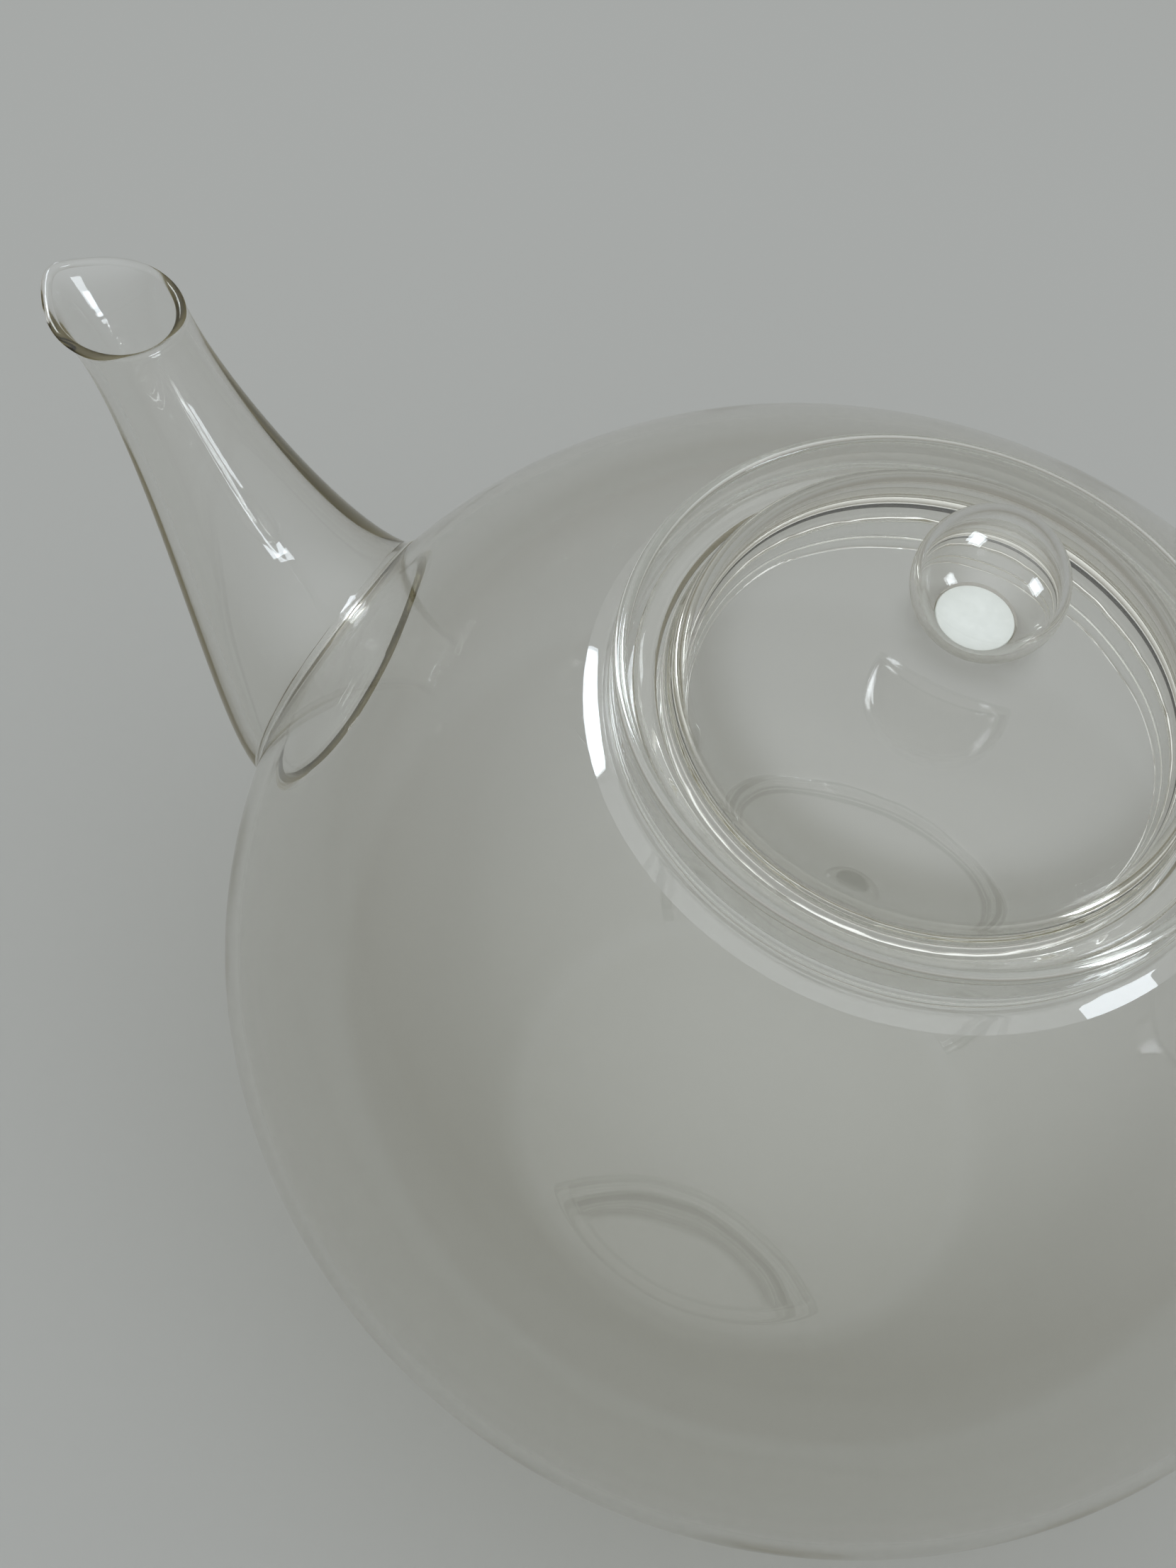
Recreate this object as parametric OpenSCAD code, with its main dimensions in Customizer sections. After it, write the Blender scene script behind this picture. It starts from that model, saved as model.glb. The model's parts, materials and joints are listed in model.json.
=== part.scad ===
/* [Bulb] */
// Width of the bulb at its widest
bulb_d = 160; // [120:1:200]
// Height of the full oval that the bulb is blown to, before its base is pressed flat
bulb_h = 124.6; // [100:0.2:160]
// Width of the flat base
base_d = 70; // [50:1:90]
// Thickness of the bulb's wall
bulb_wall = 1.8; // [1.4:0.1:3]
// Width of the opening that the lid's skirt drops into
opening_d = 64.4; // [50:0.2:80]

/* [Neck] */
// Room round the lid's rim inside the neck ring
rim_room = 0.5; // [0.4:0.1:1.5]
// Thickness of the neck ring
neck_wall = 1.7; // [1.2:0.1:3]
// Height of the neck ring above the lip that the lid rests on
neck_rise = 5; // [3:0.5:12]
// How far the neck ring opens outwards at its top
neck_flare = 0.4; // [0:0.1:2]
// Radius of the hollow sweep from the neck ring into the bulb
neck_sweep = 3.2; // [1:0.1:6]

/* [Spout] */
// Width of the spout where it joins the bulb
spout_root_d = 38.2; // [30:0.2:46]
// Height of the join's centre above the widest part
spout_root_rise = 4.7; // [0:0.1:10]
// Distance of the mouth's centre out from the bulb's side
spout_reach = 33.6; // [25:0.1:50]
// Height of the mouth above the join's centre
spout_rise = 46; // [35:0.5:60]
// Outer width of the mouth
mouth_d = 17.6; // [14:0.1:24]
// Thickness of the spout's wall
spout_wall = 1.4; // [1:0.1:2]
// How strongly the staves of the spout leave the bulb
root_pull = 26; // [15:1:40]
// Angle below level at which they leave it, in degrees
root_dip = 16; // [0:1:30]
// How strongly they close in at the join
root_waist = 2.6; // [0:0.1:6]
// How strongly they arrive at the mouth
mouth_pull = 30; // [15:1:40]
// Angle above level at which they arrive, in degrees
mouth_lean = 35; // [20:1:60]
// How strongly they open out at the mouth
mouth_flare = 11.6; // [0:0.2:20]
// How far the pouring lip is pulled out of the mouth
lip_pull = 1.6; // [0:0.1:6]
// Size of the bead of glass round the join
weld_r = 1; // [0.8:0.1:1.6]

/* [Handle] */
// Thickness of the handle's rod
rod_d = 9.5; // [7:0.1:14]
// Height of the upper end above the widest part
handle_top = 38; // [26:1:44]
// Depth of the lower end below the widest part
handle_foot = 18; // [8:1:30]
// Distance of the handle's back out from the bulb's side
handle_reach = 38; // [30:1:55]
// Width of the pads that the handle is fused to
pad_d = 17; // [14:0.5:24]
// Thickness of the pads
pad_t = 3.6; // [2.5:0.1:6]

/* [Lid] */
// Gap between the lid's rim and the lip it rests on
seat_gap = 0.2; // [0.1:0.05:0.5]
// How far the lid's rim reaches out over the opening's edge
rim_reach = 3.1; // [2.5:0.1:6]
// Thickness of the lid
lid_wall = 1.7; // [1.2:0.1:2.5]
// Height of the dome above the flat rim
dome_rise = 11.4; // [5:0.2:20]
// How flat the dome's top is and how square its shoulder: 2 is an oval
dome_flat = 6; // [2:0.5:10]
// Length of the collar under the dome that the skirt is melted to
collar_drop = 3; // [2:0.2:6]
// Room round the skirt inside the bulb's opening
skirt_room = 1; // [0.8:0.1:3]
// Thickness of the skirt
skirt_wall = 1.5; // [1.2:0.1:2.5]
// Length of the skirt below the flat rim
skirt_drop = 8.6; // [5:0.2:20]
// Radius of the bead along the skirt's lower edge
bead_r = 1.05; // [0.8:0.05:1.3]
// Height of the stem between the dome and the knob
stem_h = 3.6; // [2:0.2:10]
// How far the stem's foot sweeps out over the dome
stem_sweep = 5; // [2:0.2:10]
// Width of the hollow ball
knob_d = 17.3; // [14:0.1:26]
// Thickness of the ball's wall
knob_wall = 0.9; // [0.8:0.1:1.6]
// Width of the disc that closes the ball
disc_d = 9.5; // [7:0.1:12]
// Thickness of the disc
disc_t = 1; // [0.8:0.1:2]

/* [Hidden] */
$fn = 96;
// Depth that a fused end runs into the glass it is melted to
melt = 0.3;
// Depth that a pad is pressed into the bulb's wall
pad_melt = 1.1;
// Depth that the handle's ends are pressed into their pads
rod_melt = 2;

function unit(v) = v / norm(v);
function arc(cx, cy, r, from, to, steps) =
    [for (i = [0 : steps]) let (a = from + (to - from) * i / steps) [cx + r * cos(a), cy + r * sin(a)]];

// Bulb: an oval turned round the upright axis and cut flat at the table
bulb_r = bulb_d / 2;
bulb_b = bulb_h / 2;
opening_r = opening_d / 2;
girth_z = bulb_b * sqrt(1 - pow(base_d / bulb_d, 2));
function bulb_z(r) = girth_z + bulb_b * sqrt(1 - pow(r / bulb_r, 2));
function bulb_x(z) = bulb_r * sqrt(1 - pow((z - girth_z) / bulb_b, 2));

// Seat: the lid's rim rests on the lip of the opening, inside the neck ring
lip_r = opening_r + bulb_wall / 2;
lip_z = bulb_z(lip_r);
rim_r = opening_r + rim_reach;
neck_r = rim_r + rim_room;
neck_top = lip_z + neck_rise;

// Lid: everything stacks up from the underside of its flat rim
rim_z = lip_z + seat_gap;
skirt_r = opening_r - skirt_room;
dome_r = skirt_r;
dome_foot = rim_z + lid_wall;
dome_top = dome_foot + dome_rise;
collar_z = rim_z - collar_drop;
knob_r = knob_d / 2;
stem_r = disc_d / 2;
stem_top = dome_top + stem_h;
knob_z = stem_top + sqrt(pow(knob_r, 2) - pow(stem_r, 2));

// Spout: a ring on the bulb and a ring at the mouth, joined by curved staves
root_r = spout_root_d / 2;
root_z = girth_z + spout_root_rise;
root_x = bulb_x(root_z);
root_n = unit([root_x / pow(bulb_r, 2), 0, spout_root_rise / pow(bulb_b, 2)]);
root_up = [-root_n[2], 0, root_n[0]];
mouth_c = [bulb_r + spout_reach, 0, root_z + spout_rise];
mouth_r = mouth_d / 2;
stave_steps = 22;
ring_steps = 48;

// Moves a point along the direction n until it lies on the bulb's outside
function on_bulb(p, n) =
    let (s = [1 / bulb_r, 1 / bulb_r, 1 / bulb_b],
         q = [p[0] * s[0], p[1] * s[1], (p[2] - girth_z) * s[2]],
         d = [n[0] * s[0], n[1] * s[1], n[2] * s[2]],
         a = d * d, b = 2 * (q * d), c = q * q - 1)
    p + n * ((-b + sqrt(max(b * b - 4 * a * c, 0))) / (2 * a));

// Rings of the spout, t degrees round from the side that faces the lid
function root_ray(t) = cos(t) * root_up + [0, sin(t), 0];
function root_point(t, r) = on_bulb([root_x, 0, root_z] + r * root_ray(t), root_n);
function lip_shape(t) = exp(-pow((t - 180) / 34, 2));
function mouth_point(t, r) =
    let (pull = lip_pull * lip_shape(t), pinch = 1 - 0.15 * lip_shape(t))
    mouth_c + [pull - r * cos(t), r * sin(t) * pinch, 0.3 * pull - 0.05 * r * cos(t)];
function stave_start(t) =
    root_pull * [cos(root_dip), 0, -sin(root_dip)] - root_waist * root_ray(t);
function stave_end(t) =
    mouth_pull * [cos(mouth_lean), 0, sin(mouth_lean)]
    + mouth_flare * [-sin(mouth_lean) * cos(t), sin(t), cos(mouth_lean) * cos(t)];

// Point at u of the way along the stave at t, with the rings taken in by cut
function stave(t, u, cut) =
    (2 * pow(u, 3) - 3 * pow(u, 2) + 1) * (root_point(t, root_r - cut) - melt * root_n)
    + (pow(u, 3) - 2 * pow(u, 2) + u) * stave_start(t)
    + (3 * pow(u, 2) - 2 * pow(u, 3)) * mouth_point(t, mouth_r - cut)
    + (pow(u, 3) - pow(u, 2)) * stave_end(t);

// Handle: where its ends meet the bulb, and which way they leave it
top_z = girth_z + handle_top;
foot_z = girth_z - handle_foot;
top_end = [bulb_x(top_z), top_z];
foot_end = [bulb_x(foot_z), foot_z];
function lean(end) = atan2((end[1] - girth_z) / pow(bulb_b, 2), end[0] / pow(bulb_r, 2));
function off_wall(end, d) = end + d * [cos(lean(end)), sin(lean(end))];

// Closed skin over rings that all have the same number of points
module ring_skin(rings, looped) {
    rows = len(rings);
    cols = len(rings[0]);
    sides = [
        for (i = [0 : rows - (looped ? 1 : 2)], j = [0 : cols - 1])
            let (a = i * cols, b = ((i + 1) % rows) * cols, k = (j + 1) % cols)
            each [[a + j, b + k, a + k], [a + j, b + j, b + k]]
    ];
    first = [for (j = [0 : cols - 1]) j];
    last = [for (j = [cols - 1 : -1 : 0]) (rows - 1) * cols + j];
    polyhedron(
        points = [for (ring = rings, p = ring) p],
        faces = looped ? sides : concat(sides, [first, last]),
        convexity = 8
    );
}

// Blown bulb with a flat base, a fire-rounded opening and a hole under the spout
module bulb() {
    inner_r = bulb_r - bulb_wall;
    inner_b = bulb_b - bulb_wall;
    steps = 40;
    function oval(r, b, from, to) = [for (i = [0 : steps]) let (a = from + (to - from) * i / steps)
        [r * cos(a), girth_z + b * sin(a)]];
    outside = oval(bulb_r, bulb_b, asin(-girth_z / bulb_b), acos(lip_r / bulb_r));
    lip = arc(lip_r, lip_z - bulb_wall / 2, bulb_wall / 2, 105, 255, 8);
    inside = oval(inner_r, inner_b, acos(lip_r / inner_r), asin((bulb_wall - girth_z) / inner_b));
    hole_h = root_r + 2 * bulb_wall;
    color("gainsboro", 0.4) difference() {
        rotate_extrude() polygon(concat([[0, 0]], outside, lip, inside, [[0, bulb_wall]]));
        mirror([1, 0, 0]) translate([root_x, 0, root_z]) rotate([0, 90 - asin(root_n[2]), 0])
            cylinder(h = hole_h, r = root_r - spout_wall, center = true);
    }
}

// Short flared ring round the opening, swept down into the bulb
module neck_ring() {
    outer_r = neck_r + neck_wall;
    edge = neck_wall / 2;
    edge_r = neck_r + neck_flare + edge;
    sweep_r = outer_r + neck_sweep;
    foot_r = outer_r + 0.6 * neck_sweep;
    profile = concat(
        [[neck_r, bulb_z(neck_r) - melt]],
        arc(edge_r, neck_top - edge, edge, 180, 0, 10),
        arc(sweep_r, bulb_z(outer_r) + 0.75 * neck_sweep, neck_sweep, 180, 250, 8),
        [for (i = [0 : 8]) let (r = foot_r + (neck_r - foot_r) * i / 9) [r, bulb_z(r) - melt]]
    );
    color("lightgray", 0.6) rotate_extrude() polygon(profile);
}

// Tapering curved tube with a pulled pouring lip, open at both ends
module spout() {
    turn = 360 / ring_steps;
    outside = [for (i = [0 : stave_steps])
        [for (j = [0 : ring_steps - 1]) stave(j * turn, i / stave_steps, 0)]];
    inside = [for (i = [stave_steps : -1 : 0])
        [for (j = [0 : ring_steps - 1]) stave(j * turn, i / stave_steps, spout_wall)]];
    color("gainsboro", 0.5) rotate([0, 0, 180]) ring_skin(concat(outside, inside), true);
}

// Bead of glass melted round the foot of the spout
module spout_weld() {
    turn = 360 / ring_steps;
    sides = 12;
    rings = [for (j = [0 : ring_steps - 1])
        let (t = -j * turn, c = root_point(t, root_r + 0.3 * weld_r), ray = root_ray(t))
        [for (k = [0 : sides - 1]) let (a = k * 360 / sides) c + weld_r * (cos(a) * ray + sin(a) * root_n)]];
    color("darkkhaki", 0.6) rotate([0, 0, 180]) ring_skin(rings, true);
}

// Solid rod bent to an ear, a little thicker where its ends are pressed on
module handle() {
    back = handle_reach + bulb_r;
    height = top_z - foot_z;
    p0 = off_wall(top_end, pad_t - pad_melt - rod_melt);
    p1 = [back - 6, top_z + 0.6 * height];
    p2 = [back + handle_reach - 16, foot_z + 0.2 * height];
    p3 = off_wall(foot_end, pad_t - pad_melt - rod_melt);
    steps = 36;
    sides = 24;
    function centre(u) = pow(1 - u, 3) * p0 + 3 * pow(1 - u, 2) * u * p1
        + 3 * (1 - u) * pow(u, 2) * p2 + pow(u, 3) * p3;
    function along(u) = unit(pow(1 - u, 2) * (p1 - p0) + 2 * (1 - u) * u * (p2 - p1) + pow(u, 2) * (p3 - p2));
    function swell(u) = 1 + 0.25 * (exp(-pow(u / 0.06, 2)) + exp(-pow((1 - u) / 0.06, 2)));
    rings = [for (i = [0 : steps])
        let (u = i / steps, c = centre(u), w = along(u), r = rod_d / 2 * swell(u))
        [for (j = [0 : sides - 1]) let (a = j * 360 / sides)
            [c[0] - w[1] * r * cos(a), r * sin(a), c[1] + w[0] * r * cos(a)]]];
    color("silver", 0.6) ring_skin(rings, false);
}

// Round pad of glass laid on the bulb to take one end of the handle
module handle_pad(end) {
    pad_r = pad_d / 2;
    edge = 0.55 * pad_t;
    crown = 0.45 * pad_r;
    color("silver", 0.6) translate([end[0], 0, end[1]]) rotate([0, 90 - lean(end), 0])
        translate([0, 0, -pad_melt]) rotate_extrude() polygon(concat(
            [[0, 0]], arc(pad_r - edge, edge, edge, -60, 70, 10), [[crown, pad_t], [0, pad_t]]));
}
module handle_top_pad() { handle_pad(top_end); }
module handle_foot_pad() { handle_pad(foot_end); }

// Lid: flat rim, flat-topped dome, the stem drawn up to the knob, and a short collar, all one sheet
module lid_dome() {
    edge = lid_wall / 2;
    join_r = stem_r + stem_sweep;
    bore_r = stem_r - knob_wall;
    join_turn = acos(pow(join_r / dome_r, dome_flat / 2));
    join = shoulder(join_turn, 0);
    under = shoulder(join_turn, lid_wall);
    function shoulder(turn, depth) = let (
        side = dome_rise * cos(turn),
        over = dome_r * 2 / dome_flat * pow(cos(turn), 2 / dome_flat - 1) * sin(turn),
        size = norm([side, over]))
        [dome_r * pow(cos(turn), 2 / dome_flat) - depth * side / size,
         dome_foot + dome_rise * sin(turn) - depth * over / size];
    function sweep(from, end_r, i) = let (a = i * 90 / 8)
        [from.x + (end_r - from.x) * sin(a), from.y + (stem_top - from.y) * (1 - cos(a))];
    color("gainsboro", 0.4) rotate_extrude() polygon(concat(
        arc(rim_r - edge, rim_z + edge, edge, -90, 90, 8),
        [for (i = [0 : 24]) shoulder(join_turn * i / 24, 0)],
        [for (i = [1 : 8]) sweep(join, stem_r, i)],
        [for (i = [8 : -1 : 1]) sweep(under, bore_r, i)],
        [for (i = [24 : -1 : 0]) shoulder(join_turn * i / 24, lid_wall)],
        [[skirt_r - skirt_wall, rim_z], [skirt_r - skirt_wall, collar_z],
         [skirt_r, collar_z], [skirt_r, rim_z]]));
}

// Tube melted to the collar that keeps the lid in the opening, with a rounded lower edge
module lid_skirt() {
    mid_r = skirt_r - skirt_wall / 2;
    color("lightgray", 0.6) rotate_extrude() polygon(concat(
        [[skirt_r, collar_z + melt], [skirt_r - skirt_wall, collar_z + melt]],
        arc(mid_r, rim_z - skirt_drop + bead_r, bead_r, 140, 400, 16)));
}

// Hollow ball, open underneath where the disc closes it
module knob_ball() {
    color("white", 0.5) translate([0, 0, knob_z]) difference() {
        sphere(r = knob_r);
        sphere(r = knob_r - knob_wall);
        translate([0, 0, -1.5 * knob_r]) cylinder(h = knob_r, r = stem_r);
    }
}

// Small ground disc that closes the stem and carries the ball
module knob_disc() {
    color("white") translate([0, 0, stem_top - melt / 2]) cylinder(h = disc_t, r = stem_r);
}

bulb();
neck_ring();
spout();
spout_weld();
handle();
handle_top_pad();
handle_foot_pad();
lid_dome();
lid_skirt();
knob_ball();
knob_disc();
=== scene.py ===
"""Looks of a blown glass teapot: a clear bulb with neck ring, spout and ear handle, and a lid
with a hollow ball for its knob."""

import json
import math

import bpy
import numpy as np
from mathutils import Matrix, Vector

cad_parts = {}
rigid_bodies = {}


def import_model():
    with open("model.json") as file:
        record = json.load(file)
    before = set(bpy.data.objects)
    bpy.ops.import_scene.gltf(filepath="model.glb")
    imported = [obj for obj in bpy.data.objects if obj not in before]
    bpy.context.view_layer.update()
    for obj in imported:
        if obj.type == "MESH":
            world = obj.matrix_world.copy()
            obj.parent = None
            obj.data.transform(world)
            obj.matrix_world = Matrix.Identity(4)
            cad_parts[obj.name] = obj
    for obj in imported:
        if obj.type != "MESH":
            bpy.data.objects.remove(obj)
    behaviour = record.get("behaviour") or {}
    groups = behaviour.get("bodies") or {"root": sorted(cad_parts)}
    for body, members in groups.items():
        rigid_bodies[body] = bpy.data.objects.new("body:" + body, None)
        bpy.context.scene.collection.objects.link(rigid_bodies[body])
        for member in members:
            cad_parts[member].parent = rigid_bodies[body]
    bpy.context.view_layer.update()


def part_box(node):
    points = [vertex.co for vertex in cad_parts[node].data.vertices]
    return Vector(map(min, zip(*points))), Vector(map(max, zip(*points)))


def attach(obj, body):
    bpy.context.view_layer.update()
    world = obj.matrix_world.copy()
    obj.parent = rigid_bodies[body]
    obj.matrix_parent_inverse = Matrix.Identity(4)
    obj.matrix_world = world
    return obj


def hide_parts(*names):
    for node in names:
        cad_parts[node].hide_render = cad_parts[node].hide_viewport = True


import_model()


# ---- Bulb -------------------------------------------------------------------------------
# A squat bulb of clear borosilicate, blown to an oval and pressed flat underneath.
# Its opening is rounded in the flame, and its side has a hole where the spout is melted on.

bulb_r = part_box("bulb")[1].y
bulb_half_height = 0.0623
base_r = 0.035
bulb_wall = 0.0018
opening_r = 0.0322
girth_z = bulb_half_height * math.sqrt(1 - (base_r / bulb_r) ** 2)
inner_r = bulb_r - bulb_wall
inner_half_height = bulb_half_height - bulb_wall
melt_gap = 0.00003
sharp_edge = math.radians(38)

spout_root_r = 0.0191
spout_wall = 0.0014
root_z = girth_z + 0.0047


def wall_spot(z):
    """Point of the bulb's outside at height z, on +X, and the way straight out of the glass
    there, which is the oval's gradient."""
    x = bulb_r * math.sqrt(1 - ((z - girth_z) / bulb_half_height) ** 2)
    out = np.array([x / bulb_r**2, 0.0, (z - girth_z) / bulb_half_height**2])
    return np.array([x, 0.0, z]), out / np.linalg.norm(out)


root_centre, root_out = wall_spot(root_z)
root_up = np.array([-root_out[2], 0.0, root_out[0]])
side_y = np.array([0.0, 1.0, 0.0])


def oval_height(r, half_width, half_height):
    """Height of the upper half of an oval turned round the upright axis, at radius r."""
    return girth_z + half_height * np.sqrt(1 - (r / half_width) ** 2)


def onto_oval(points, half_width, half_height, out=root_out):
    """Slides points along a direction until they lie on the oval: the far root of a quadratic,
    in coordinates scaled so that the oval is a unit ball."""
    scale = 1 / np.array([half_width, half_width, half_height])
    start = (points - [0, 0, girth_z]) * scale
    way = out * scale
    a = way @ way
    b = 2 * start @ way
    c = (start**2).sum(-1) - 1
    steps = (-b + np.sqrt(np.maximum(b * b - 4 * a * c, 0))) / (2 * a)
    return points + steps[..., None] * out


def root_ring(turn, r, half_width, half_height):
    """Points of a circle of radius r round the spout's root, laid on the oval. turn is 0 at the
    top of the circle and grows towards +Y. The spout is worked out on +X and mirrored later."""
    ray = np.cos(turn)[:, None] * root_up + np.sin(turn)[:, None] * side_y
    return onto_oval(root_centre + r * ray, half_width, half_height)


def arc(centre, r, start, end, steps):
    """Points of an arc in the profile plane (radius, height), from start to end in degrees."""
    a = np.radians(np.linspace(start, end, steps))
    return np.stack([centre[0] + r * np.cos(a), centre[1] + r * np.sin(a)], 1)


def oval_line(half_width, half_height, start, end, steps):
    """Profile points along the oval, by its angle from start to end in radians."""
    a = np.linspace(start, end, steps)
    return np.stack([half_width * np.cos(a), girth_z + half_height * np.sin(a)], 1)


def turned(profile, columns):
    """Turns a profile of (radius, height) points round Z: rows follow the profile."""
    a = np.linspace(0, 2 * np.pi, columns, endpoint=False)
    r, z = profile[:, :1], profile[:, 1:]
    return np.stack([r * np.cos(a), r * np.sin(a), z + 0 * a], 2)


def lattice(rows, columns, looped):
    """Four-cornered faces of a grid, each from a point, the next one beside it and the two below
    them. The columns close on themselves, and the rows too where looped is true."""
    i, j = np.meshgrid(np.arange(rows - (0 if looped else 1)), np.arange(columns), indexing="ij")
    below = (i + 1) % rows
    beside = (j + 1) % columns
    quads = [i * columns + j, i * columns + beside, below * columns + beside, below * columns + j]
    return np.stack(quads, -1).reshape(-1, 4)


def glass_object(name, points, quads, fans=()):
    """Makes the mesh of one piece from its points, its four-cornered faces, and fans of
    triangles round a pole, each given as (pole, ring). The volume under the faces is the sum of
    their corners' triple products; where it comes out negative, every face is turned over.
    Points that no face uses are left out."""
    points = points.reshape(-1, 3)
    spokes = [
        np.stack([np.full(len(ring), hub), ring, np.roll(ring, -1)], 1) for hub, ring in fans
    ]
    triangles = np.concatenate([quads[:, :3], quads[:, [0, 2, 3]], *spokes])
    a, b, c = points[triangles.T]
    if (np.cross(a, b) * c).sum() < 0:
        quads = quads[:, ::-1]
        spokes = [fan[:, ::-1] for fan in spokes]
    loose = np.concatenate([quads.ravel(), *[fan.ravel() for fan in spokes]])
    used, places = np.unique(loose, return_inverse=True)
    fours, threes = places.ravel()[: quads.size], places.ravel()[quads.size :]
    corners = fours.reshape(-1, 4).tolist() + threes.reshape(-1, 3).tolist()
    mesh = bpy.data.meshes.new(name)
    mesh.from_pydata(points[used].tolist(), [], corners)
    mesh.update()
    mesh.polygons.foreach_set("use_smooth", np.ones(len(mesh.polygons), bool))
    mesh.set_sharp_from_angle(angle=sharp_edge)
    piece = bpy.data.objects.new(name, mesh)
    bpy.context.scene.collection.objects.link(piece)
    return piece


def mirrored(points):
    """Turns points half round Z, because the spout is worked out on +X and stands on -X."""
    return points * [-1, -1, 1]


def square_to_circle(grid_ids, grid_points, r, half_width, half_height, turn=None, layers=7):
    """Fills the frame between a square block of the bulb's grid and a round hole: straight lines
    from the block's edge to the circle in the plane across the root, laid on the oval, with the
    layers closer together towards the hole. Returns the new points, layer by layer inwards, and
    the angle of each line."""
    edge = mirrored(grid_points[grid_ids])
    away = edge - root_centre
    across = np.stack([away @ root_up, away @ side_y], 1)
    if turn is None:
        turn = np.arctan2(across[:, 1], across[:, 0])
    circle = r * np.stack([np.cos(turn), np.sin(turn)], 1)
    rest = []
    for share in (np.arange(1, layers + 1) / layers) ** 0.85:
        flat = across * (1 - share) + circle * share
        spots = root_centre + flat[:, :1] * root_up + flat[:, 1:] * side_y
        rest.append(mirrored(onto_oval(spots, half_width, half_height)))
    return np.array(rest), turn


# The wall's profile starts at the middle of the base, runs up the outside, over the rounded
# edge of the opening and down the inside, and ends at the middle of the inner floor.
columns = 288
lip_r = opening_r + bulb_wall / 2
lip_z = oval_height(lip_r, bulb_r, bulb_half_height)
foot_turn = math.asin(-girth_z / bulb_half_height)
outer_rows = 150
flat_rows = 14
hub_r = 0.001
base_round = 0.0025
foot_round = 0.035
floor_z = bulb_wall + 0.0001
base_steps = np.linspace(hub_r, base_r - base_round, flat_rows)
base = np.stack([base_steps, np.zeros(flat_rows)], 1)
outside = oval_line(
    bulb_r, bulb_half_height, foot_turn + foot_round, math.acos(lip_r / bulb_r), outer_rows
)
lip = arc((lip_r, lip_z - bulb_wall / 2), bulb_wall / 2, 88, 252, 13)
inside_foot = -math.asin((girth_z - bulb_wall) / inner_half_height)
inside = oval_line(
    inner_r, inner_half_height, math.acos(lip_r / inner_r), inside_foot, outer_rows
)
floor_steps = np.linspace(inside[-1, 0] - base_round, hub_r, flat_rows)
floor = np.stack([floor_steps, np.full(flat_rows, floor_z)], 1)
profile = np.concatenate([base, outside, lip, inside, floor])
grid = turned(profile, columns)
rows = len(profile)
quads = lattice(rows, columns, False).reshape(rows - 1, columns, 4)

# The hole's block: the same rows of the outer and the inner wall, and the columns round -X.
block_half = 0.0265
out_reach = 0.96 * block_half
in_reach = 0.94 * block_half
on_the_side = 0.7 * bulb_r
out_first = len(base)
in_first = len(base) + outer_rows + len(lip)
spacing = 2 * math.pi * bulb_r / columns
side_columns = int(block_half / spacing)
left = columns // 2 - side_columns
right = columns // 2 + side_columns


def block_rows(line, height):
    """Rows of a wall's profile line that lie within a height above and below the root, away
    from the opening and the base."""
    level = np.abs(line[:, 1] - root_z) < height
    return np.nonzero(level & (line[:, 0] > on_the_side))[0]


out_rows = block_rows(outside, out_reach)
out_top = out_first + int(out_rows.max())
out_bottom = out_first + int(out_rows.min())
in_top = in_first + int(block_rows(inside, in_reach).min())
in_bottom = in_top + (out_top - out_bottom)


def block_edge(row_a, row_b):
    """Indices of the grid points round a block, from its first row and left column."""
    across = np.arange(left, right)
    step = 1 if row_b > row_a else -1
    along = np.arange(row_a, row_b, step)
    return np.concatenate([
        row_a * columns + across,
        along * columns + right,
        row_b * columns + across[::-1] + 1,
        (along[::-1] + step) * columns + left,
    ])


keep = np.ones((rows - 1, columns), bool)
keep[out_bottom:out_top, left:right] = False
keep[in_top:in_bottom, left:right] = False
points = grid.reshape(-1, 3)
out_edge = block_edge(out_bottom, out_top)
in_edge = block_edge(in_bottom, in_top)
out_patch, hole_turn = square_to_circle(
    out_edge, points, spout_root_r, bulb_r, bulb_half_height
)
in_patch, _ = square_to_circle(
    in_edge, points, spout_root_r - spout_wall, inner_r, inner_half_height, hole_turn
)
around = len(out_edge)
first_new = len(points)
layers = len(out_patch)
out_ids = np.vstack([out_edge, first_new + np.arange(layers * around).reshape(layers, around)])
in_new = first_new + layers * around
in_ids = np.vstack([in_edge, in_new + np.arange(layers * around).reshape(layers, around)])


def ring_faces(outer, inner, flip):
    """Faces between two rings of point indices, each from two neighbours on one ring and the two
    beside them on the other, turned over where flip is true."""
    a, b = outer, np.roll(outer, -1)
    c, d = np.roll(inner, -1), inner
    order = [a, d, c, b] if flip else [a, b, c, d]
    return np.stack(order, 1)


patch_faces = [ring_faces(out_ids[k], out_ids[k + 1], False) for k in range(layers)]
patch_faces += [ring_faces(in_ids[k], in_ids[k + 1], True) for k in range(layers)]
patch_faces.append(ring_faces(out_ids[-1], in_ids[-1], False))
poles = np.array([[0, 0, 0], [0, 0, floor_z]])
all_points = np.concatenate([points, out_patch.reshape(-1, 3), in_patch.reshape(-1, 3), poles])
pole = len(all_points) - 2
bulb = glass_object(
    "bulb_glass",
    all_points,
    np.concatenate([quads[keep]] + patch_faces),
    [(pole, np.arange(columns)[::-1]), (pole + 1, (rows - 1) * columns + np.arange(columns))],
)


long_way = 13


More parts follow.
